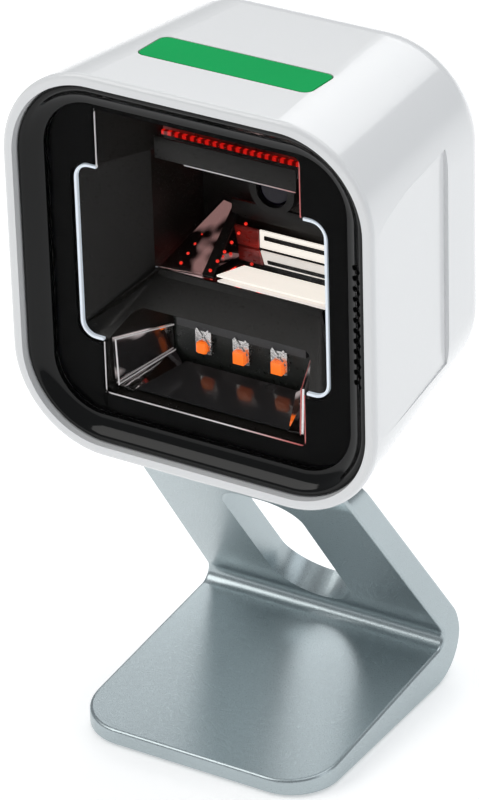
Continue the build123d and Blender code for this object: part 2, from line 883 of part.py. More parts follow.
with BuildPart() as key_switch:
    with BuildSketch(Plane.XY.offset(head_centre_z + key_board_top)):
        with Locations((0, rim_y + key_depth)):
            Rectangle(switch_size, switch_size)
    extrude(amount=(plunger_top - key_board_top) / 2)
    with BuildSketch(Plane.XY.offset(head_centre_z + key_board_top)):
        with Locations((0, rim_y + key_depth)):
            Circle(plunger_radius)
    extrude(amount=plunger_top - key_board_top)
save(key_switch, "key_switch")

with BuildPart() as indicator_leds:
    with BuildSketch(Plane.XY.offset(head_centre_z + key_board_top)):
        with Locations((0, rim_y + key_depth)):
            for indicator_gap in (indicator_outer, indicator_inner):
                with GridLocations(indicator_gap, 0, 2, 1):
                    Rectangle(indicator_size, indicator_size)
    extrude(amount=(plunger_top - key_board_top) / 2)
save(indicator_leds, "indicator_leds")
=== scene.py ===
"""Presentation barcode scanner, laid out as an add-on.

Its operators give the loaded design its finishes, make the fine pieces round the window and set the stage.
"""

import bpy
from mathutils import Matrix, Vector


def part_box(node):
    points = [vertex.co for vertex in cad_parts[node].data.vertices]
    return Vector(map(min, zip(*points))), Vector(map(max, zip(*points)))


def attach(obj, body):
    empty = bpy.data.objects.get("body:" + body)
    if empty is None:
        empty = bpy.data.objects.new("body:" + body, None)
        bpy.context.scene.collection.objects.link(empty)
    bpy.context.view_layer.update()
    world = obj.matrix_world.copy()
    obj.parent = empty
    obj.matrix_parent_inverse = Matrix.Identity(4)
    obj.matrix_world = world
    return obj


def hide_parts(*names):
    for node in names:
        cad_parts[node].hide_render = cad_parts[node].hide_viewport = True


bl_info = {
    "name": "Presentation Scanner",
    "version": (1, 0, 0),
    "blender": (4, 5, 0),
    "location": "View3D > Sidebar > Scanner",
    "description": "Builds the visual model of a hands-free presentation barcode scanner",
    "category": "Add Mesh",
}

import math

import bmesh
import bpy
from mathutils import Matrix, Vector

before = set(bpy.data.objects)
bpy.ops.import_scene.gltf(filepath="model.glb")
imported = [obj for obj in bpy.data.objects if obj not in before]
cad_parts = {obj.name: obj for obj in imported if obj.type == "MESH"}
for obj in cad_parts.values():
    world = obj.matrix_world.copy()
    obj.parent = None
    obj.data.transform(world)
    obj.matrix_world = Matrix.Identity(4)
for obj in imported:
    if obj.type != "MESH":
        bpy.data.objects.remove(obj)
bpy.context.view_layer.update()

MM = 0.001
CUBE_EDGES = 12
SHARP_ANGLE = math.radians(32)
SHELL_LOW, SHELL_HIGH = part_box("front_shell")
RIM_Y = SHELL_LOW.y
HEAD_Z = (SHELL_LOW.z + SHELL_HIGH.z) / 2


# ---- node helpers ---------------------------------------------------------------------
def new_material(name):
    """A material with its principled shader, node tree and Object coordinates."""
    material = bpy.data.materials.new(name)
    material.use_nodes = True
    tree = material.node_tree
    shader = tree.nodes["Principled BSDF"]
    coords = tree.nodes.new("ShaderNodeTexCoord")
    return material, tree, shader, coords.outputs["Object"]


def noise(tree, coords, scale, detail=4.0, stretch=(1.0, 1.0, 1.0)):
    """A noise pattern on object coordinates; scale is in waves per metre."""
    mapping = tree.nodes.new("ShaderNodeMapping")
    mapping.inputs["Scale"].default_value = stretch
    texture = tree.nodes.new("ShaderNodeTexNoise")
    texture.inputs["Scale"].default_value = scale
    texture.inputs["Detail"].default_value = detail
    tree.links.new(coords, mapping.inputs["Vector"])
    tree.links.new(mapping.outputs["Vector"], texture.inputs["Vector"])
    return texture.outputs["Fac"]


def remap(tree, value, low, high):
    """Spread a 0 to 1 pattern between two values."""
    node = tree.nodes.new("ShaderNodeMapRange")
    node.inputs["From Min"].default_value = 0.3
    node.inputs["From Max"].default_value = 0.7
    node.inputs["To Min"].default_value = low
    node.inputs["To Max"].default_value = high
    tree.links.new(value, node.inputs["Value"])
    return node.outputs["Result"]


def tint(tree, value, low_colour, high_colour):
    """Blend two colours by a 0 to 1 pattern."""
    node = tree.nodes.new("ShaderNodeMix")
    node.data_type = "RGBA"
    node.inputs["A"].default_value = (*low_colour, 1.0)
    node.inputs["B"].default_value = (*high_colour, 1.0)
    tree.links.new(value, node.inputs["Factor"])
    return node.outputs["Result"]


def grain(tree, shader, value, distance, strength=0.3):
    """Raise a fine pattern as a bump of a given height in metres."""
    bump = tree.nodes.new("ShaderNodeBump")
    bump.inputs["Distance"].default_value = distance
    bump.inputs["Strength"].default_value = strength
    tree.links.new(value, bump.inputs["Height"])
    tree.links.new(bump.outputs["Normal"], shader.inputs["Normal"])


def finish_from(name, colour, shade, rough, patch=60.0, fine=3000.0, height=0.00002, strength=0.2, **sockets):
    """A moulded or metal finish: colour drifts to shade in patches, roughness varies, and a fine grain."""
    material, tree, shader, coords = new_material(name)
    drift = noise(tree, coords, patch)
    fine_grain = noise(tree, coords, fine, 2.0)
    tree.links.new(tint(tree, drift, colour, shade), shader.inputs["Base Color"])
    tree.links.new(remap(tree, fine_grain, *rough), shader.inputs["Roughness"])
    grain(tree, shader, fine_grain, height, strength)
    for socket, value in sockets.items():
        shader.inputs[socket.replace("_", " ")].default_value = value
    return material


def glow(material, colour, strength):
    """Give a material its own light."""
    shader = material.node_tree.nodes["Principled BSDF"]
    shader.inputs["Emission Color"].default_value = (*colour, 1.0)
    shader.inputs["Emission Strength"].default_value = strength
    return material


def painted_reflection_patches(material, colour, strength):
    """Painted reflection: emission in long soft patches, standing for the light that a bright surface picks
    up, for mirrors deep in a dark chamber.
    """
    tree = material.node_tree
    shader = tree.nodes["Principled BSDF"]
    coords = tree.nodes.new("ShaderNodeTexCoord")
    patches = noise(tree, coords.outputs["Object"], 130.0, 2.0, (1.0, 0.45, 1.6))
    ramp = tree.nodes.new("ShaderNodeMapRange")
    ramp.inputs["From Min"].default_value = 0.50
    ramp.inputs["From Max"].default_value = 0.60
    ramp.inputs["To Max"].default_value = strength
    tree.links.new(patches, ramp.inputs["Value"])
    tree.links.new(ramp.outputs["Result"], shader.inputs["Emission Strength"])
    shader.inputs["Emission Color"].default_value = (*colour, 1.0)
    return material


# ---- finishes ---------------------------------------------------------------------------
def white_moulding(colour):
    """Polished white housing plastic."""
    shade = tuple(0.97 * part for part in colour)
    material = finish_from("white_moulding", colour, shade, (0.16, 0.24), 25.0, 1400.0, 0.00001, 0.05)
    shader = material.node_tree.nodes["Principled BSDF"]
    shader.inputs["Coat Weight"].default_value = 0.35
    shader.inputs["Coat Roughness"].default_value = 0.05
    return material


def piano_black():
    """High-gloss black plastic of the bezel."""
    return finish_from(
        "piano_black", (0.003, 0.003, 0.003), (0.005, 0.005, 0.005),
        (0.05, 0.11), 40.0, 900.0, 0.000004, 0.05,
        Specular_IOR_Level=0.24,
    )


def printed_black():
    """Black ink printed behind the window."""
    return finish_from(
        "printed_black", (0.002, 0.002, 0.002), (0.004, 0.004, 0.004),
        (0.3, 0.4), 80.0, 2500.0, 0.000004, 0.05,
        Specular_IOR_Level=0.04,
    )


def cast_metal(colour):
    """Satin metallic finish on the cast stand, with a fine sparkle and slow cloudy drift."""
    material, tree, shader, coords = new_material("cast_metal")
    shader.inputs["Metallic"].default_value = 0.9
    cloud = noise(tree, coords, 28.0, 3.0)
    sparkle = noise(tree, coords, 5200.0, 2.0)
    shade = tuple(0.86 * part for part in colour)
    tree.links.new(tint(tree, cloud, shade, colour), shader.inputs["Base Color"])
    tree.links.new(remap(tree, sparkle, 0.25, 0.36), shader.inputs["Roughness"])
    grain(tree, shader, sparkle, 0.00003, 0.18)
    return material


def dark_moulding():
    """Fine-textured dark brown-black plastic of the optics chamber."""
    return finish_from(
        "dark_moulding", (0.008, 0.007, 0.006), (0.016, 0.014, 0.012),
        (0.26, 0.40), 90.0, 2600.0, 0.00003, 0.25,
        Specular_IOR_Level=0.22,
    )


def clear_window():
    """Clear window, very slightly smoky."""
    material = finish_from(
        "clear_window", (0.004, 0.004, 0.004), (0.006, 0.006, 0.006),
        (0.02, 0.05), 30.0, 600.0, 0.000002, 0.02
    )
    shader = material.node_tree.nodes["Principled BSDF"]
    shader.inputs["Alpha"].default_value = 0.03
    shader.inputs["Specular IOR Level"].default_value = 0.08
    return material


def light_guide():
    """Frosted clear light guide lit from behind."""
    material = finish_from(
        "light_guide", (0.80, 0.88, 0.97), (0.90, 0.94, 0.98),
        (0.25, 0.4), 200.0, 3000.0, 0.00001, 0.1
    )
    return glow(material, (0.80, 0.90, 1.0), 0.28)


def silvered_mirror():
    """Front-surface mirror with faint dust."""
    return finish_from(
        "silvered_mirror", (0.82, 0.82, 0.84), (0.70, 0.70, 0.72),
        (0.01, 0.05), 300.0, 900.0, 0.000001, 0.02,
        Metallic=1.0,
    )


def metallised():
    """Vacuum-metallised plastic of the lamp bay's side reflectors, with painted reflection patches that glow
    pinkish white.
    """
    material = finish_from(
        "metallised", (0.86, 0.84, 0.84), (0.74, 0.72, 0.72),
        (0.03, 0.09), 160.0, 500.0, 0.00005, 0.25,
        Metallic=1.0,
    )
    # painted reflection: soft pinkish glowing patches
    return painted_reflection_patches(material, (0.80, 0.70, 0.70), 0.42)


def zinc_steel():
    """Bright zinc-plated steel with turning marks."""
    return finish_from(
        "zinc_steel", (0.60, 0.61, 0.62), (0.50, 0.51, 0.52),
        (0.22, 0.34), 200.0, 4000.0, 0.00001, 0.3,
        Metallic=1.0,
    )


def nickel():
    """Nickel plate on the magnet."""
    return finish_from(
        "nickel", (0.68, 0.67, 0.64), (0.60, 0.59, 0.57),
        (0.10, 0.18), 200.0, 3000.0, 0.00001, 0.1, Metallic=1.0
    )


def grey_moulding():
    """Satin dark grey plastic."""
    return finish_from(
        "grey_moulding", (0.060, 0.058, 0.060), (0.085, 0.082, 0.084),
        (0.38, 0.52), 120.0, 3000.0, 0.00002, 0.25
    )


def painted_hole_shade():
    """Painted shade: flat black standing for the unlit depth of the sound holes."""
    return finish_from(
        "painted_hole_shade", (0.001, 0.001, 0.001), (0.002, 0.002, 0.002),
        (0.85, 0.95), 150.0, 2500.0, 0.00001, 0.1,
        Specular_IOR_Level=0.0,
    )


def painted_edge_highlight():
    """Painted highlight: the glowing bright cut edge of the clear window insert, turning red towards the lamp
    side as painted red light.
    """
    material, tree, shader, coords = new_material("painted_edge_highlight")
    split = tree.nodes.new("ShaderNodeSeparateXYZ")
    tree.links.new(coords, split.inputs["Vector"])
    across = tree.nodes.new("ShaderNodeMapRange")
    across.inputs["From Min"].default_value = 0.006
    across.inputs["From Max"].default_value = 0.020
    tree.links.new(split.outputs["X"], across.inputs["Value"])
    colour = tint(tree, across.outputs["Result"], (0.75, 0.72, 0.72), (0.65, 0.16, 0.15))
    tree.links.new(colour, shader.inputs["Base Color"])
    tree.links.new(colour, shader.inputs["Emission Color"])
    tree.links.new(remap(tree, noise(tree, coords, 90.0), 0.05, 0.32), shader.inputs["Emission Strength"])
    tree.links.new(remap(tree, noise(tree, coords, 700.0), 0.2, 0.35), shader.inputs["Roughness"])
    return material


def soft_rubber():
    """Matte black rubber."""
    return finish_from(
        "soft_rubber", (0.014, 0.014, 0.015), (0.022, 0.022, 0.023),
        (0.65, 0.85), 150.0, 2500.0, 0.00005, 0.4
    )


def solder_mask():
    """Dark green circuit board with faint copper runs under the mask."""
    material, tree, shader, coords = new_material("solder_mask")
    brick = tree.nodes.new("ShaderNodeTexBrick")
    brick.inputs["Scale"].default_value = 420.0
    brick.inputs["Mortar Size"].default_value = 0.06
    brick.inputs["Color1"].default_value = (0.006, 0.007, 0.006, 1.0)
    brick.inputs["Color2"].default_value = (0.008, 0.010, 0.008, 1.0)
    brick.inputs["Mortar"].default_value = (0.014, 0.017, 0.013, 1.0)
    turn = tree.nodes.new("ShaderNodeMapping")
    turn.inputs["Rotation"].default_value = (math.radians(90), 0.0, 0.0)
    tree.links.new(coords, turn.inputs["Vector"])
    tree.links.new(turn.outputs["Vector"], brick.inputs["Vector"])
    tree.links.new(brick.outputs["Color"], shader.inputs["Base Color"])
    tree.links.new(remap(tree, noise(tree, coords, 800.0), 0.25, 0.4), shader.inputs["Roughness"])
    grain(tree, shader, brick.outputs["Fac"], 0.00003, 0.4)
    return material


def lamp_case():
    """Bright stamped metal of the lamp packages."""
    return finish_from(
        "lamp_case", (0.80, 0.78, 0.76), (0.55, 0.53, 0.52),
        (0.15, 0.3), 900.0, 2500.0, 0.0001, 0.5, Metallic=0.9
    )


def amber_lens():
    """Glowing orange lamp lens."""
    material = finish_from(
        "amber_lens", (0.90, 0.16, 0.02), (1.0, 0.26, 0.04),
        (0.1, 0.2), 700.0, 2500.0, 0.00002, 0.1
    )
    return glow(material, (1.0, 0.17, 0.015), 0.75)


def red_strip():
    """Red light strip: a row of glowing spots behind a dark tinted bar."""
    material, tree, shader, coords = new_material("red_strip")
    shader.inputs["Base Color"].default_value = (0.25, 0.006, 0.004, 1.0)
    shader.inputs["Roughness"].default_value = 0.2
    shader.inputs["Emission Color"].default_value = (1.0, 0.015, 0.01, 1.0)
    wave = tree.nodes.new("ShaderNodeTexWave")
    wave.bands_direction = "X"
    wave.inputs["Scale"].default_value = 190.0
    wave.inputs["Distortion"].default_value = 2.0
    tree.links.new(coords, wave.inputs["Vector"])
    tree.links.new(remap(tree, wave.outputs["Fac"], 0.04, 0.55), shader.inputs["Emission Strength"])
    return material


def lit_diffuser():
    """Pale diffuser sheet lit from behind."""
    material = finish_from(
        "lit_diffuser", (0.80, 0.76, 0.68), (0.90, 0.86, 0.80),
        (0.4, 0.6), 160.0, 2500.0, 0.00001, 0.1
    )
    return glow(material, (1.0, 0.93, 0.84), 0.75)


def red_lamp():
    """Glowing red indicator and aiming lamps."""
    material = finish_from(
        "red_lamp", (0.60, 0.02, 0.01), (0.80, 0.04, 0.02),
        (0.15, 0.3), 600.0, 2500.0, 0.00001, 0.1
    )
    return glow(material, (1.0, 0.03, 0.015), 3.0)


def painted_red_light():
    """Painted red light: dark plastic with red streaks in its colour and a streaked red glow, standing for
    red light washing over it.
    """
    material, tree, shader, coords = new_material("painted_red_light")
    streak = noise(tree, coords, 220.0, 3.0, (0.35, 1.0, 2.2))
    colour = tint(tree, remap(tree, streak, 0.0, 1.0), (0.10, 0.008, 0.006), (0.55, 0.03, 0.02))
    tree.links.new(colour, shader.inputs["Base Color"])
    tree.links.new(colour, shader.inputs["Emission Color"])
    tree.links.new(remap(tree, streak, 0.02, 0.28), shader.inputs["Emission Strength"])
    tree.links.new(remap(tree, noise(tree, coords, 900.0), 0.25, 0.4), shader.inputs["Roughness"])
    return material


def polished_black():
    """Glossy dark floor of the lamp bay."""
    return finish_from(
        "polished_black", (0.022, 0.022, 0.023), (0.036, 0.035, 0.036),
        (0.08, 0.16), 120.0, 500.0, 0.000004, 0.05,
        Specular_IOR_Level=0.6,
    )


def ember_red():
    """Dim red aiming lamps."""
    material = finish_from(
        "ember_red", (0.30, 0.01, 0.005), (0.45, 0.02, 0.01),
        (0.2, 0.4), 600.0, 2500.0, 0.00001, 0.1
    )
    return glow(material, (1.0, 0.03, 0.015), 0.8)


def chamber_mirror():
    """Mirror strip beside the fold mirror, with painted red reflection: its colour drifts to dull red in
    patches, and glowing patches stand for the red light it picks up.
    """
    material = finish_from(
        "chamber_mirror", (0.60, 0.56, 0.55), (0.30, 0.10, 0.09),
        (0.05, 0.2), 260.0, 700.0, 0.00004, 0.4,
        Metallic=1.0,
    )
    # painted reflection: warm glowing patches
    return painted_reflection_patches(material, (0.70, 0.38, 0.36), 0.34)


def coated_lens():
    """Purple-coated camera lens glass."""
    return finish_from(
        "coated_lens", (0.006, 0.004, 0.012), (0.010, 0.006, 0.018),
        (0.03, 0.07), 300.0, 900.0, 0.000001, 0.02,
        Specular_IOR_Level=0.25,
    )


def green_key(colour):
    """Translucent green key cap."""
    shade = tuple(0.86 * part for part in colour)
    material = finish_from(
        "green_key", colour, shade, (0.30, 0.36), 60.0, 900.0, 0.000004, 0.04,
        Specular_IOR_Level=0.02,
    )
    return glow(material, colour, 0.16)


def floor_finish(colour):
    """Pale matte studio floor."""
    shade = tuple(0.985 * part for part in colour)
    material = finish_from("floor_finish", colour, shade, (0.75, 0.9), 1.5, 40.0, 0.0001, 0.02)
    return glow(material, (1.0, 1.0, 1.0), 0.35)


# ---- settings ---------------------------------------------------------------------------
def colour_property(name, description, default):
    """A colour picker with its name, description and default."""
    return bpy.props.FloatVectorProperty(
        name=name, description=description, default=default, size=3, min=0.0, max=1.0, subtype="COLOR"
    )


class ScannerShellSettings(bpy.types.PropertyGroup):
    """Colours of the head."""

    white: colour_property("White", "Colour of the housing", (0.83, 0.835, 0.84))
    green: colour_property("Key green", "Colour of the status key", (0.0, 0.34, 0.085))


def length_property(name, description, default):
    """A size in millimetres with its name, description and default."""
    return bpy.props.FloatProperty(name=name, description=description, default=default)


class ScannerWindowSettings(bpy.types.PropertyGroup):
    """Sizes round the window, in millimetres."""

    bezel_outer: length_property("Bezel outer", "Half the bezel's outer width", 37.9)
    bezel_corner: length_property("Bezel corner", "Outer corner radius of the bezel", 17.5)
    bezel_front: length_property("Bezel front", "Depth of the bezel's lip behind the rim", 1.2)
    corner_share: length_property("Corner share", "Corner radius lost for each millimetre of inset", 1.36)
    hole_radius: length_property("Hole radius", "Radius of a sound hole", 0.5)
    hole_pitch: length_property("Hole pitch", "Distance from one sound hole to the next", 2.17)
    hole_x: length_property("Hole x", "Distance of the inner row of holes from the middle", 34.9)
    hole_gap: length_property("Hole gap", "Distance between the two rows of holes", 1.6)
    hole_centre: length_property("Hole centre", "Height of the rows' middle above the head's middle", 1.0)
    hole_rows: bpy.props.IntProperty(name="Hole rows", description="Sound holes in each row", default=12)
    guide_half_width: length_property("Guide reach", "Outer reach of a light guide from the middle", 27.7)
    guide_inner: length_property("Guide inner", "Where a light guide starts beside the opening", 22.6)
    guide_low: length_property("Guide low", "Height of a light guide's lower run", -17.9)
    guide_high: length_property("Guide high", "Height of a light guide's upper run", 19.3)
    guide_depth: length_property("Guide depth", "Depth of the light guides' front", 4.95)
    guide_corner: length_property("Guide corner", "Bend of a light guide", 3.4)
    guide_width: length_property("Guide width", "Width of a light guide seen from the front", 0.62)
    guide_thickness: length_property("Guide thickness", "Light guide from front to back", 0.9)
    opening_half: length_property("Opening half", "Half the width of the tall opening", 22.5)
    opening_low: length_property("Opening low", "Lower edge of the tall opening", -29.0)
    opening_high: length_property("Opening high", "Upper edge of the tall opening", 31.5)
    # the opening's bright cut edge is a painted highlight strip
    edge_width: length_property("Edge width", "Width of the opening's bright cut edge", 0.22)


class ScannerChamberSettings(bpy.types.PropertyGroup):
    """Sizes in the upper chamber, in millimetres."""

    panel_thickness: length_property("Panel thickness", "Thickness of the chamber's panels", 0.4)
    beam_depth: length_property("Beam depth", "Depth of the cross beam", 17.9)
    beam_low: length_property("Beam low", "Lower edge of the cross beam", -12.6)
    beam_high: length_property("Beam high", "Upper edge of the cross beam", -6.9)
    bar_low: length_property("Bar low", "Lower edge of the dark bar", 18.6)
    ember_rows: bpy.props.IntProperty(name="Ember rows", description="Aiming lamps in each row", default=7)
    ember_radius: length_property("Ember radius", "Radius of an aiming lamp", 0.35)


class ScannerLampSettings(bpy.types.PropertyGroup):
    """Sizes in the lamp bay, in millimetres."""

    mirror_thickness: length_property("Mirror thickness", "Thickness of the folded side mirrors", 0.4)
    # the bright edge of a side mirror is a painted highlight strip
    mirror_rim_highlight: length_property("Mirror rim", "Width of the bright edge of a side mirror", 0.28)
    board_depth: length_property("Board depth", "Depth of the lamp board's front", 19.5)
    lamp_width: length_property("Lamp width", "Width of a lamp package", 3.6)
    lamp_height: length_property("Lamp height", "Height of a lamp package", 5.0)
    lamp_thickness: length_property("Lamp thickness", "Thickness of a lamp package", 1.2)
    lamp_pitch: length_property("Lamp pitch", "Distance from lamp to lamp", 8.5)
    lamp_up: length_property("Lamp height in head", "Height of the lamps above the head's middle", -20.9)


class ScannerStandSettings(bpy.types.PropertyGroup):
    """Colours of the stand."""

    metal: colour_property("Metal", "Colour of the cast stand", (0.465, 0.53, 0.55))


class ScannerStageSettings(bpy.types.PropertyGroup):
    """Floor colour and camera."""

    floor: colour_property("Floor", "Colour of the studio floor", (0.93, 0.93, 0.93))
    azimuth: bpy.props.FloatProperty(
        name="Azimuth",
        description="Camera angle round the scanner",
        default=math.radians(32.23),
        subtype="ANGLE",
    )
    elevation: bpy.props.FloatProperty(
        name="Elevation", description="Camera angle above level", default=math.radians(28.83), subtype="ANGLE"
    )
    roll: bpy.props.FloatProperty(
        name="Roll",
        description="Camera turn about its own line of sight",
        default=math.radians(-1.74),
        subtype="ANGLE",
    )
    distance: bpy.props.FloatProperty(
        name="Distance", description="Camera distance from its aim point", default=0.9207, unit="LENGTH"
    )
    lens: bpy.props.FloatProperty(
        name="Lens", description="Focal length in millimetres", default=215.15
    )
    aim: bpy.props.FloatVectorProperty(
        name="Aim",
        description="Point that the camera looks at",
        default=(0.0, -0.0071, 0.0722),
        subtype="TRANSLATION",
    )


# ---- finishes on the design's own pieces --------------------------------------------------
def dress(names, material):
    """Put a material on CAD nodes."""
    for name in names:
        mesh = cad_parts[name].data
        mesh.materials.clear()
        mesh.materials.append(material)


SCREWS_AND_POSTS = ["strike_screw", "cover_screws", "board_posts"]


class SCANNER_OT_finishes(bpy.types.Operator):
    """Give every carried-over piece its finish"""

    bl_idname = "scanner.finishes"
    bl_label = "Finishes"

    def execute(self, context):
        shell = context.scene.scanner_shell
        stand = context.scene.scanner_stand
        dress(["front_shell", "rear_cover"], white_moulding(shell.white))
        dress(["status_key"], green_key(shell.green))
        dress(["window_pane"], clear_window())
        dress(["window_mask"], printed_black())
        dress(["optics_chassis", "lens_barrel", "tilt_shoe", "speaker"], dark_moulding())
        dress(["fold_mirror"], silvered_mirror())
        dress(["led_cover", "cable_socket", "key_switch"], grey_moulding())
        dress(["diffuser_panel"], lit_diffuser())
        dress(["red_leds"], red_lamp())
        dress(["led_board", "sensor_board", "main_board", "key_board"], solder_mask())
        dress(["indicator_leds"], green_key(shell.green))
        dress(["light_bar"], red_strip())
        dress(["camera_lens"], coated_lens())
        dress(["stand_frame"], cast_metal(stand.metal))
        dress(["base_pad", "window_gasket"], soft_rubber())
        dress(["shoe_magnet"], nickel())
        dress(["hinge_pin", "pin_clip", "friction_washers", "strike_plate"] + SCREWS_AND_POSTS, zinc_steel())
        return {"FINISHED"}


# ---- mesh helpers -------------------------------------------------------------------------
def place(x, up, depth):
    """A point in the head: across, above its centre and behind its rim, given in millimetres."""
    return Vector((x * MM, RIM_Y + depth * MM, HEAD_Z + up * MM))


def round_edges(bm, edges, offset, segments=2):
    """Round edges by an offset in millimetres."""
    bmesh.ops.bevel(
        bm,
        geom=edges,
        offset=offset * MM,
        offset_type="OFFSET",
        segments=segments,
        profile=0.5,
        affect="EDGES",
        clamp_overlap=True,
        material=-1,
    )


def block(bm, low, high, turn=0.0, rounding=0.0):
    """A block between two opposite corners, turned about its own front-to-back axis, with rounded edges."""
    middle, size = (low + high) / 2, high - low
    shape = Matrix.Rotation(turn, 4, "Y") @ Matrix.Diagonal((*size, 1.0))
    bmesh.ops.create_cube(bm, size=1.0, matrix=Matrix.Translation(middle) @ shape)
    if rounding > 0:
        bm.edges.ensure_lookup_table()
        round_edges(bm, bm.edges[-CUBE_EDGES:], rounding)


def rounded_loop(bm, half_width, half_height, corner, depth, steps):
    """A closed rounded-rectangle loop facing the window, returned as its edges."""
    half_step = math.pi / (4 * steps)
    turn = Matrix.Rotation(math.radians(90), 4, "X") @ Matrix.Rotation(half_step, 4, "Z")
    made = bmesh.ops.create_circle(
        bm,
        cap_ends=False,
        segments=4 * steps,
        radius=corner * MM,
        matrix=Matrix.Translation(place(0, 0, depth)) @ turn,
    )
    for side in (-1, 1):
        for rise in (-1, 1):
            quarter = [v for v in made["verts"] if v.co.x * side > 0 and (v.co.z - HEAD_Z) * rise > 0]
            shift = (side * (half_width - corner) * MM, 0.0, rise * (half_height - corner) * MM)
            bmesh.ops.translate(bm, verts=quarter, vec=shift)
    return list({edge for v in made["verts"] for edge in v.link_edges})


def thicken(bm, points, thickness):
    """A flat or folded panel through points, given thickness in millimetres."""
    made = [bm.verts.new(place(*point)) for point in points]
    face = bmesh.ops.contextual_create(bm, geom=made)["faces"]
    bmesh.ops.solidify(bm, geom=face, thickness=thickness * MM)


def new_piece(name, bm, material, stands_for=()):
    """Turn a bmesh into a piece that rides on the head."""
    bmesh.ops.recalc_face_normals(bm, faces=bm.faces)
    for face in bm.faces:
        face.smooth = True
    for edge in bm.edges:
        edge.smooth = edge.calc_face_angle(0.0) < SHARP_ANGLE
    mesh = bpy.data.meshes.new(name)
    bm.to_mesh(mesh)
    bm.free()
    piece = bpy.data.objects.new(name, mesh)
    mesh.materials.append(material)
    bpy.context.scene.collection.objects.link(piece)
    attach(piece, "head")
    if stands_for:
        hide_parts(*stands_for)
    return piece


# ---- bezel and light guides -----------------------------------------------------------------
# how far in from the outer edge, and how far behind the lip, each loop of the bezel lies
BEZEL_PROFILE = (
    (0.0, 2.4),
    (0.0, 0.5),
    (0.12, 0.2),
    (0.4, 0.04),
    (0.8, 0.0),
    (1.2, 0.1),
    (1.6, 0.4),
    (2.1, 0.95),
    (2.8, 1.45),
    (3.6, 1.85),
    (4.3, 2.05),
    (4.8, 2.15),
    (4.85, 3.2),
)
BEZEL_CORNER_STEPS = 14
HOLE_SLOPE = math.radians(33)
HOLE_COLUMN_SINKS = (1.92, 0.70)
HOLE_LENGTH = 1.0


class SCANNER_OT_bezel(bpy.types.Operator):
    """Make the gloss bezel with its rounded lip, and black discs of painted shade for the sound holes down
    its right side
    """

    bl_idname = "scanner.bezel"
    bl_label = "Bezel"

    def execute(self, context):
        settings = context.scene.scanner_window
        outer, corner, front = settings.bezel_outer, settings.bezel_corner, settings.bezel_front
        bm = bmesh.new()
        loops = []
        for inset, sink in BEZEL_PROFILE:
            half, radius = outer - inset, corner - inset * settings.corner_share
            loops.append(rounded_loop(bm, half, half, radius, front + sink, BEZEL_CORNER_STEPS))
        for first, second in zip(loops, loops[1:]):
            bmesh.ops.bridge_loops(bm, edges=first + second)
        new_piece("gloss_bezel", bm, piano_black(), ["bezel_ring"])

        # painted shade: black discs where the sound holes' unlit depth shows
        bm = bmesh.new()
        slope = Matrix.Rotation(-HOLE_SLOPE, 4, "Z") @ Matrix.Rotation(math.radians(90), 4, "X")
        for column, sink in enumerate(HOLE_COLUMN_SINKS):
            for row in range(settings.hole_rows):
                up = settings.hole_centre + (row - (settings.hole_rows - 1) / 2) * settings.hole_pitch
                spot = place(settings.hole_x + column * settings.hole_gap, up, front + sink)
                bmesh.ops.create_cone(
                    bm,
                    cap_ends=True,
                    segments=14,
                    radius1=settings.hole_radius * MM,
                    radius2=settings.hole_radius * MM,
                    depth=HOLE_LENGTH * MM,
                    matrix=Matrix.Translation(spot) @ slope,
                )
        new_piece("sound_hole_shades", bm, painted_hole_shade())
        return {"FINISHED"}


EDGE_THICKNESS = 0.2
EDGE_ROUNDING = 0.05
GUIDE_ROUNDING = 0.15
GUIDE_BEND_STEPS = 10


class SCANNER_OT_light_guides(bpy.types.Operator):
    """Make the two bent light guides beside the tall opening, and the painted highlight strips along the
    opening's cut edges
    """

    bl_idname = "scanner.light_guides"
    bl_label = "Light Guides"

    def execute(self, context):
        settings = context.scene.scanner_window
        half, inner = settings.guide_half_width, settings.guide_inner
        low, high, depth = settings.guide_low, settings.guide_high, settings.guide_depth
        bm = bmesh.new()
        for side in (-1, 1):
            corners = ((inner, high), (half, high), (half, low), (inner, low))
            made = [bm.verts.new(place(side * x, up, depth)) for x, up in corners]
            for first, second in zip(made, made[1:]):
                bmesh.ops.contextual_create(bm, geom=[first, second])
            bmesh.ops.bevel(
                bm,
                geom=made[1:3],
                offset=settings.guide_corner * MM,
                offset_type="OFFSET",
                segments=GUIDE_BEND_STEPS,
                profile=0.5,
                affect="VERTICES",
                clamp_overlap=True,
                material=-1,
            )
        ribbon = bmesh.ops.extrude_edge_only(bm, edges=bm.edges[:])
        moved = [item for item in ribbon["geom"] if isinstance(item, bmesh.types.BMVert)]
        bmesh.ops.translate(bm, verts=moved, vec=(0.0, settings.guide_thickness * MM, 0.0))
        bmesh.ops.recalc_face_normals(bm, faces=bm.faces)
        bmesh.ops.solidify(bm, geom=bm.faces[:], thickness=settings.guide_width * MM)
        sharp = [edge for edge in bm.edges if edge.calc_face_angle(0.0) > math.radians(60)]
        round_edges(bm, sharp, GUIDE_ROUNDING)
        new_piece("light_guides", bm, light_guide(), ["light_pipes"])

        # painted highlight: thin glowing strips along the opening's cut edges
        bm = bmesh.new()
        edge, gap = settings.edge_width, settings.opening_half
        front, rounding = depth - EDGE_THICKNESS, EDGE_ROUNDING
        runs = ((settings.opening_low, settings.guide_low), (settings.guide_high, settings.opening_high))
        for low, high in runs:
            for side in (-1, 1):
                x = side * (gap - edge)
                block(bm, place(x - edge / 2, low, front), place(x + edge / 2, high, depth), 0.0, rounding)
        floor_up = settings.opening_low + edge
        block(bm, place(-gap, floor_up - edge, front), place(gap, floor_up, depth), 0.0, rounding)
        new_piece("opening_edge_highlights", bm, painted_edge_highlight())
        return {"FINISHED"}


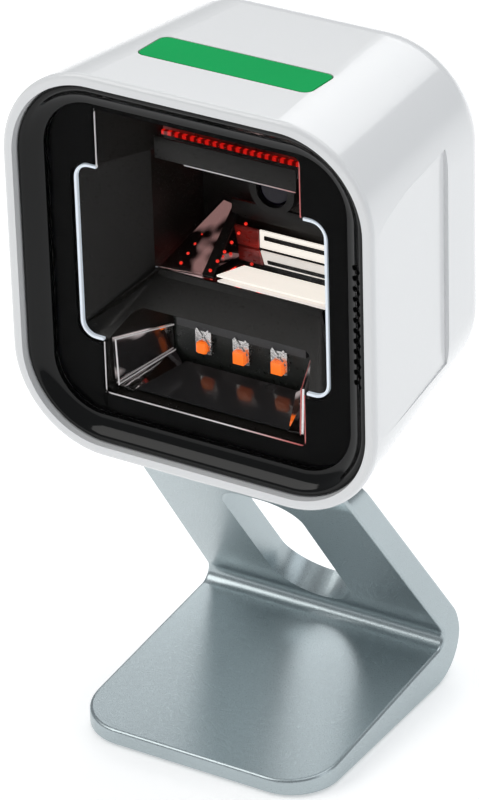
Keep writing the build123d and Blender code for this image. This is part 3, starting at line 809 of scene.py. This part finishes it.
# ---- lamp bay -------------------------------------------------------------------------------
FLOOR_THICKNESS = 0.3
RIM_LIFT = 0.5
RIM_FORWARD = 0.1
CASE_ROUNDING = 0.12
CROSS_REACH = 1.2
CROSS_HALF_WIDTH = 0.18
CROSS_THICKNESS = 0.25
CROSS_TURN = math.radians(52)
CROSS_ROUNDING = 0.06
LENS_DROP = 0.36
LENS_WIDTH_SHARE = 0.66
LENS_THICKNESS = 1.1
LENS_ROUNDING = 0.75


class SCANNER_OT_lamp_bay(bpy.types.Operator):
    """Make the folded side mirrors, the three lamp packages and their orange lenses"""

    bl_idname = "scanner.lamp_bay"
    bl_label = "Lamp Bay"

    def execute(self, context):
        settings = context.scene.scanner_lamps
        chrome, painted_rim_highlight = metallised(), painted_edge_highlight()
        for name, side in (("left", -1), ("right", 1)):
            bm = bmesh.new()
            front_top = (side * 21.3, -17.6, 6.4)
            back_top = (side * 15.8, -18.8, 18.9)
            back_low = (side * 15.6, -24.2, 18.9)
            front_low = (side * 20.9, -27.4, 6.4)
            floor_back = (side * 12.8, -26.3, 17.6)
            floor_front = (side * 17.4, -28.2, 7.0)
            thicken(bm, (front_top, back_top, back_low, front_low), settings.mirror_thickness)
            thicken(bm, (front_low, back_low, floor_back, floor_front), settings.mirror_thickness)
            new_piece(f"folded_mirror_{name}", bm, chrome, [f"side_reflector_{name}"])

            # painted highlight: thin glowing strips held just off the side mirrors' edges
            rim = settings.mirror_rim_highlight
            bm = bmesh.new()
            rim_lines = (
                (front_top, back_top, 0.0, -rim),
                (front_low, back_low, 0.0, -rim),
                (front_top, front_low, -side * rim, 0.0),
            )
            for start, end, across, down in rim_lines:
                (x1, up1, depth1), (x2, up2, depth2) = start, end
                x1, x2 = x1 - side * RIM_LIFT, x2 - side * RIM_LIFT
                depth1, depth2 = depth1 - RIM_FORWARD, depth2 - RIM_FORWARD
                near = ((x1, up1, depth1), (x2, up2, depth2))
                far = ((x2 + across, up2 + down, depth2), (x1 + across, up1 + down, depth1))
                thicken(bm, near + far, rim / 2)
            new_piece(f"mirror_rim_highlight_{name}", bm, painted_rim_highlight)

        bm = bmesh.new()
        floor = ((-17.0, -28.2, 7.4), (17.0, -28.2, 7.4), (12.6, -26.4, 18.6), (-12.6, -26.4, 18.6))
        thicken(bm, floor, FLOOR_THICKNESS)
        new_piece("bay_floor", bm, polished_black())

        half_width, half_height = settings.lamp_width / 2, settings.lamp_height / 2
        back, front = settings.board_depth, settings.board_depth - settings.lamp_thickness
        cases, lenses = bmesh.new(), bmesh.new()
        for step in (-1, 0, 1):
            x, up = step * settings.lamp_pitch, settings.lamp_up
            low = place(x - half_width, up - half_height, front)
            high = place(x + half_width, up + half_height, back)
            block(cases, low, high, 0.0, CASE_ROUNDING)
            cross_up = up + half_height / 2
            arm = half_width * CROSS_REACH
            for turn in (-1, 1):
                low = place(x - arm, cross_up - CROSS_HALF_WIDTH, front - CROSS_THICKNESS)
                high = place(x + arm, cross_up + CROSS_HALF_WIDTH, front)
                block(cases, low, high, turn * CROSS_TURN, CROSS_ROUNDING)
            lens_up = up - half_height * LENS_DROP
            lens_half_width, lens_half_height = half_width * LENS_WIDTH_SHARE, half_height / 2
            low = place(x - lens_half_width, lens_up - lens_half_height, front - LENS_THICKNESS)
            high = place(x + lens_half_width, lens_up + lens_half_height, front)
            block(lenses, low, high, 0.0, LENS_ROUNDING)
        new_piece("lamp_cases", cases, lamp_case(), ["led_packages"])
        new_piece("lamp_lenses", lenses, amber_lens(), ["led_domes"])
        return {"FINISHED"}


# ---- upper chamber --------------------------------------------------------------------------
EMBER_FIRST = (-14.0, -5.8, 20.0)
EMBER_LAST = (-11.8, 1.2, 32.4)
EMBER_COLUMN_GAP = 6.6


class SCANNER_OT_chamber(bpy.types.Operator):
    """Make the upper chamber's funnel panels, mirror, struts and lit panel"""

    bl_idname = "scanner.chamber"
    bl_label = "Chamber"

    def execute(self, context):
        settings = context.scene.scanner_chamber
        sheet, back = settings.panel_thickness, settings.beam_depth
        beam_low, beam_high, bar_low = settings.beam_low, settings.beam_high, settings.bar_low
        dark, bright = dark_moulding(), chamber_mirror()

        bm = bmesh.new()
        block(bm, place(-18.6, beam_low, back), place(18.6, beam_high, back + sheet), 0.0, 0.2)
        for side in (-1, 1):
            wing = (
                (side * 27.6, -15.5, 6.6),
                (side * 22.4, -12.6, back - 2.6),
                (side * 18.0, beam_high, back),
                (side * 18.4, beam_high - 0.8, back),
                (side * 27.6, -17.4, 6.6),
            )
            thicken(bm, wing, sheet)
        new_piece("chamber_beam", bm, dark)

        bm = bmesh.new()
        block(bm, place(-15.6, bar_low, back - 3.4), place(15.6, bar_low + 4.6, back - 3.0), 0.0, 0.15)
        new_piece("chamber_bar", bm, dark)
        # painted highlight: a thin glowing strip along the dark bar's lower edge
        bm = bmesh.new()
        block(bm, place(-9.0, bar_low - 0.12, back - 3.5), place(15.4, bar_low + 0.06, back - 3.2), 0.0, 0.04)
        new_piece("bar_edge_highlight", bm, painted_edge_highlight())

        bm = bmesh.new()
        # the mirror wedge's finish carries painted red reflection
        wedge = ((-18.0, -7.2, 18.7), (-8.8, -6.6, 19.2), (-10.0, 1.6, 33.4), (-12.2, 2.0, 33.4))
        thicken(bm, wedge, sheet)
        new_piece("mirror_wedge", bm, bright)

        bm = bmesh.new()
        strut = ((-8.8, -6.6, 19.2), (-6.4, -6.6, 19.2), (-8.2, 2.4, 33.4), (-10.0, 2.4, 33.4))
        thicken(bm, strut, sheet)
        block(bm, place(-9.4, 0.6, 31.4), place(18.6, 4.2, 32.2), 0.0, 0.15)
        new_piece("mirror_struts", bm, dark)

        bm = bmesh.new()
        block(bm, place(-2.6, -4.4, 30.4), place(18.4, -0.6, 30.8), 0.0, 0.1)
        lower_band = ((-5.6, -6.4, 19.4), (18.4, -6.4, 19.4), (18.4, -5.6, 24.0), (-2.2, -5.6, 24.0))
        thicken(bm, lower_band, sheet)
        new_piece("lit_panel", bm, lit_diffuser())

        bm = bmesh.new()
        block(bm, place(-1.4, -2.4, 30.0), place(18.4, -1.5, 30.3), 0.0, 0.1)
        new_piece("panel_shadow", bm, dark)

        # painted red light: a streaked red glow on a patch and on a strip above the bar
        bm = bmesh.new()
        painted_red_patch = ((-7.4, -4.6, 30.2), (-2.8, -4.6, 30.2), (-2.8, -0.6, 30.2), (-8.2, -0.6, 30.2))
        thicken(bm, painted_red_patch, sheet)
        block(bm, place(-15.7, 23.2, back + 0.2), place(15.7, 29.4, back + 0.4))
        new_piece("painted_red_light_panels", bm, painted_red_light())

        bm = bmesh.new()
        for column in range(2):
            first, last = place(*EMBER_FIRST), place(*EMBER_LAST)
            shift = Vector((column * EMBER_COLUMN_GAP * MM, 0.0, 0.0))
            for row in range(settings.ember_rows):
                spot = first.lerp(last, row / (settings.ember_rows - 1)) + shift
                bmesh.ops.create_icosphere(
                    bm, subdivisions=2, radius=settings.ember_radius * MM, matrix=Matrix.Translation(spot)
                )
        new_piece("aiming_embers", bm, ember_red())
        return {"FINISHED"}


# ---- stage --------------------------------------------------------------------------------
def softbox(name, place, target, size, power, colour=(1.0, 1.0, 1.0)):
    """A large soft area light aimed at a point."""
    light = bpy.data.lights.new(name, "AREA")
    light.shape = "RECTANGLE"
    light.size, light.size_y = size
    light.energy = power
    light.color = colour
    lamp = bpy.data.objects.new(name, light)
    lamp.location = place
    lamp.rotation_euler = (Vector(target) - Vector(place)).to_track_quat("-Z", "Y").to_euler()
    bpy.context.scene.collection.objects.link(lamp)


class SCANNER_OT_stage(bpy.types.Operator):
    """Lay the floor, place the lights and set up the camera"""

    bl_idname = "scanner.stage"
    bl_label = "Stage"

    def execute(self, context):
        scene = context.scene
        settings = scene.scanner_stage
        bm = bmesh.new()
        bmesh.ops.create_circle(bm, cap_ends=True, segments=64, radius=6.0)
        mesh = bpy.data.meshes.new("floor")
        bm.to_mesh(mesh)
        bm.free()
        floor = bpy.data.objects.new("floor", mesh)
        mesh.materials.append(floor_finish(settings.floor))
        scene.collection.objects.link(floor)

        world = bpy.data.worlds.new("studio")
        world.use_nodes = True
        sky = world.node_tree.nodes["Background"]
        sky.inputs["Color"].default_value = (0.86, 0.90, 0.94, 1.0)
        sky.inputs["Strength"].default_value = 0.36
        scene.world = world
        middle = (0.0, 0.0, 0.08)
        softbox("key_light", (-0.75, -0.65, 1.10), middle, (0.9, 0.9), 6.0, (1.0, 0.985, 0.96))
        softbox("top_light", (0.1, 0.25, 1.35), middle, (1.2, 1.0), 6.5)
        softbox("back_strip", (-0.25, 1.0, 0.75), (0.0, 0.0, 0.02), (1.2, 0.35), 2.6)
        softbox("side_light", (1.15, 0.05, 0.55), middle, (0.5, 0.9), 1.6, (0.94, 0.97, 1.0))
        scene.view_settings.view_transform = "Standard"
        scene.view_settings.look = "None"

        camera_data = bpy.data.cameras.new("camera")
        camera_data.lens = settings.lens
        camera_data.sensor_width = 36.0
        camera_data.clip_start = 0.05
        camera_data.clip_end = 20.0
        camera = bpy.data.objects.new("camera", camera_data)
        tip = Matrix.Rotation(math.radians(90) - settings.elevation, 4, "X")
        turn = Matrix.Rotation(settings.azimuth, 4, "Z") @ tip @ Matrix.Rotation(settings.roll, 4, "Z")
        back = turn.to_3x3() @ Vector((0, 0, 1))
        camera.matrix_world = Matrix.Translation(Vector(settings.aim) + back * settings.distance) @ turn
        scene.collection.objects.link(camera)
        scene.camera = camera
        return {"FINISHED"}


# ---- panel and registration -----------------------------------------------------------------
STEPS = (
    "scanner.finishes",
    "scanner.bezel",
    "scanner.light_guides",
    "scanner.chamber",
    "scanner.lamp_bay",
    "scanner.stage",
)


class SCANNER_PT_panel(bpy.types.Panel):
    """Lists the steps that build the scanner."""

    bl_idname = "SCANNER_PT_panel"
    bl_label = "Presentation Scanner"
    bl_space_type = "VIEW_3D"
    bl_region_type = "UI"
    bl_category = "Scanner"

    def draw(self, context):
        column = self.layout.column(align=True)
        for step in STEPS:
            column.operator(step)


CLASSES = (
    ScannerShellSettings,
    ScannerWindowSettings,
    ScannerChamberSettings,
    ScannerLampSettings,
    ScannerStandSettings,
    ScannerStageSettings,
    SCANNER_OT_finishes,
    SCANNER_OT_bezel,
    SCANNER_OT_light_guides,
    SCANNER_OT_chamber,
    SCANNER_OT_lamp_bay,
    SCANNER_OT_stage,
    SCANNER_PT_panel,
)


def register():
    """Register the classes and hang their settings on the scene."""
    for item in CLASSES:
        bpy.utils.register_class(item)
    bpy.types.Scene.scanner_shell = bpy.props.PointerProperty(type=ScannerShellSettings)
    bpy.types.Scene.scanner_window = bpy.props.PointerProperty(type=ScannerWindowSettings)
    bpy.types.Scene.scanner_chamber = bpy.props.PointerProperty(type=ScannerChamberSettings)
    bpy.types.Scene.scanner_lamps = bpy.props.PointerProperty(type=ScannerLampSettings)
    bpy.types.Scene.scanner_stand = bpy.props.PointerProperty(type=ScannerStandSettings)
    bpy.types.Scene.scanner_stage = bpy.props.PointerProperty(type=ScannerStageSettings)


def unregister():
    """Take the settings and classes away again."""
    del bpy.types.Scene.scanner_stage
    del bpy.types.Scene.scanner_stand
    del bpy.types.Scene.scanner_lamps
    del bpy.types.Scene.scanner_chamber
    del bpy.types.Scene.scanner_window
    del bpy.types.Scene.scanner_shell
    for item in reversed(CLASSES):
        bpy.utils.unregister_class(item)


def main():
    """Build the scanner."""
    register()
    for step in STEPS:
        group, name = step.split(".")
        getattr(getattr(bpy.ops, group), name)()


if __name__ == "__main__":
    main()
